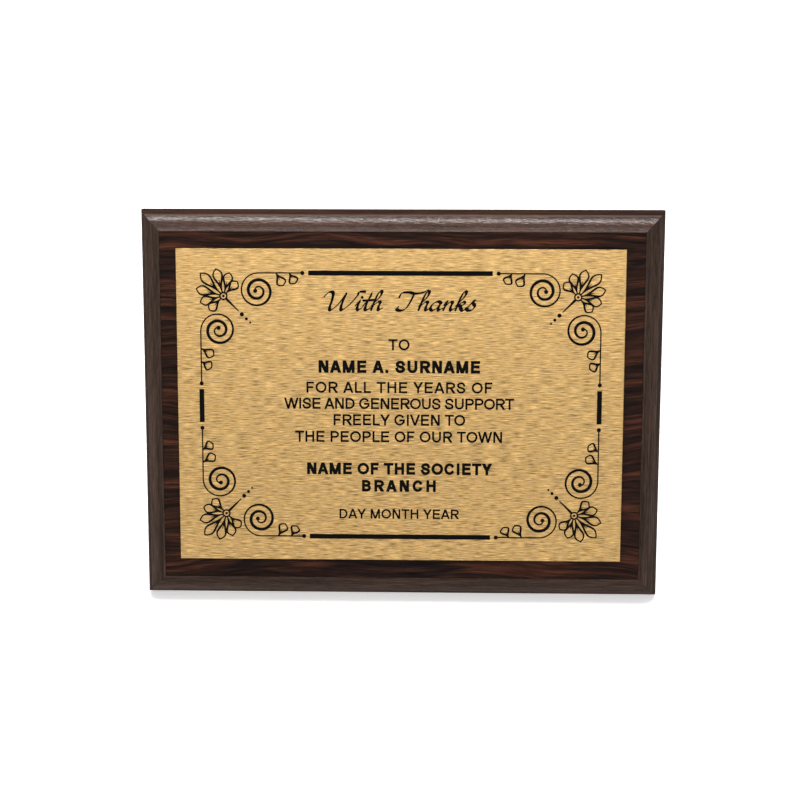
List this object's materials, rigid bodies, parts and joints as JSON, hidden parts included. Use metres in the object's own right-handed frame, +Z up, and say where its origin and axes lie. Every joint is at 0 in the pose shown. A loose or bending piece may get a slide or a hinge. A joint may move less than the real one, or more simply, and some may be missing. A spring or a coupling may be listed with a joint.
{
  "type": "wooden plaque",
  "caption": "Rectangular wooden award plaque with mitred edge mouldings, a veneered panel, a brushed gold plate, a folding easel strut and a ring hanger.",
  "frame": {"origin": "middle of the floor area that the standing plaque covers, on the surface that it stands on", "axes": "+X right along the plaque's width, +Z up, the face looks along -Y and leans back 15 degrees"},
  "size_m": [0.2, 0.0678, 0.1464],
  "materials": {
    "edge_foil": "satin wood-grain foil, dark walnut",
    "rosewood_veneer": "satin dark rosewood veneer, grain along the width",
    "fibreboard": "raw fibreboard",
    "brushed_gold": "gold anodised, brushed along the width, printed in black",
    "tape": "double-sided foam tape",
    "black_hardboard": "hardboard painted matt black",
    "steel": "bright zinc plated",
    "brass_plating": "brass plated steel",
    "felt": "dark brown felt"
  },
  "bodies": {
    "plaque": {"moulding_bottom": "edge_foil", "moulding_right": "edge_foil", "moulding_top": "edge_foil", "moulding_left": "edge_foil", "corner_wedge_bottom_left": "steel", "corner_wedge_bottom_right": "steel", "corner_wedge_top_right": "steel", "corner_wedge_top_left": "steel", "core_board": "fibreboard", "face_veneer": "rosewood_veneer", "award_plate": "brushed_gold", "tape_lower": "tape", "tape_middle": "tape", "tape_upper": "tape", "backing_board": "black_hardboard", "backing_nail_1": "brass_plating", "backing_nail_2": "brass_plating", "backing_nail_3": "brass_plating", "backing_nail_4": "brass_plating", "backing_nail_5": "brass_plating", "backing_nail_6": "brass_plating", "hinge_screw_left": "steel", "hinge_screw_right": "steel", "hanger_screw": "steel", "felt_dot_bottom_left": "felt", "felt_dot_bottom_right": "felt", "felt_dot_top_right": "felt", "felt_dot_top_left": "felt", "hinge_leaf_fixed": "steel", "hinge_pin": "steel", "hanger_strap": "brass_plating"},
    "strut": {"strut_board": "black_hardboard", "hinge_leaf_strut": "steel", "strut_rivet_1": "steel", "strut_rivet_2": "steel"},
    "hanger_ring": {"hanger_ring": "brass_plating"}
  },
  "joints": [
    {"name": "strut_hinge", "type": "hinge", "parent": "plaque", "child": "strut", "pos_m": [0, 0.00727, 0.09573], "axis": [1, 0, 0], "range_deg": [-30, 0]},
    {"name": "ring_swing", "type": "hinge", "parent": "plaque", "child": "hanger_ring", "pos_m": [0, 0.01547, 0.1308], "axis": [1, 0, 0], "range_deg": [-14, 165]}
  ]
}
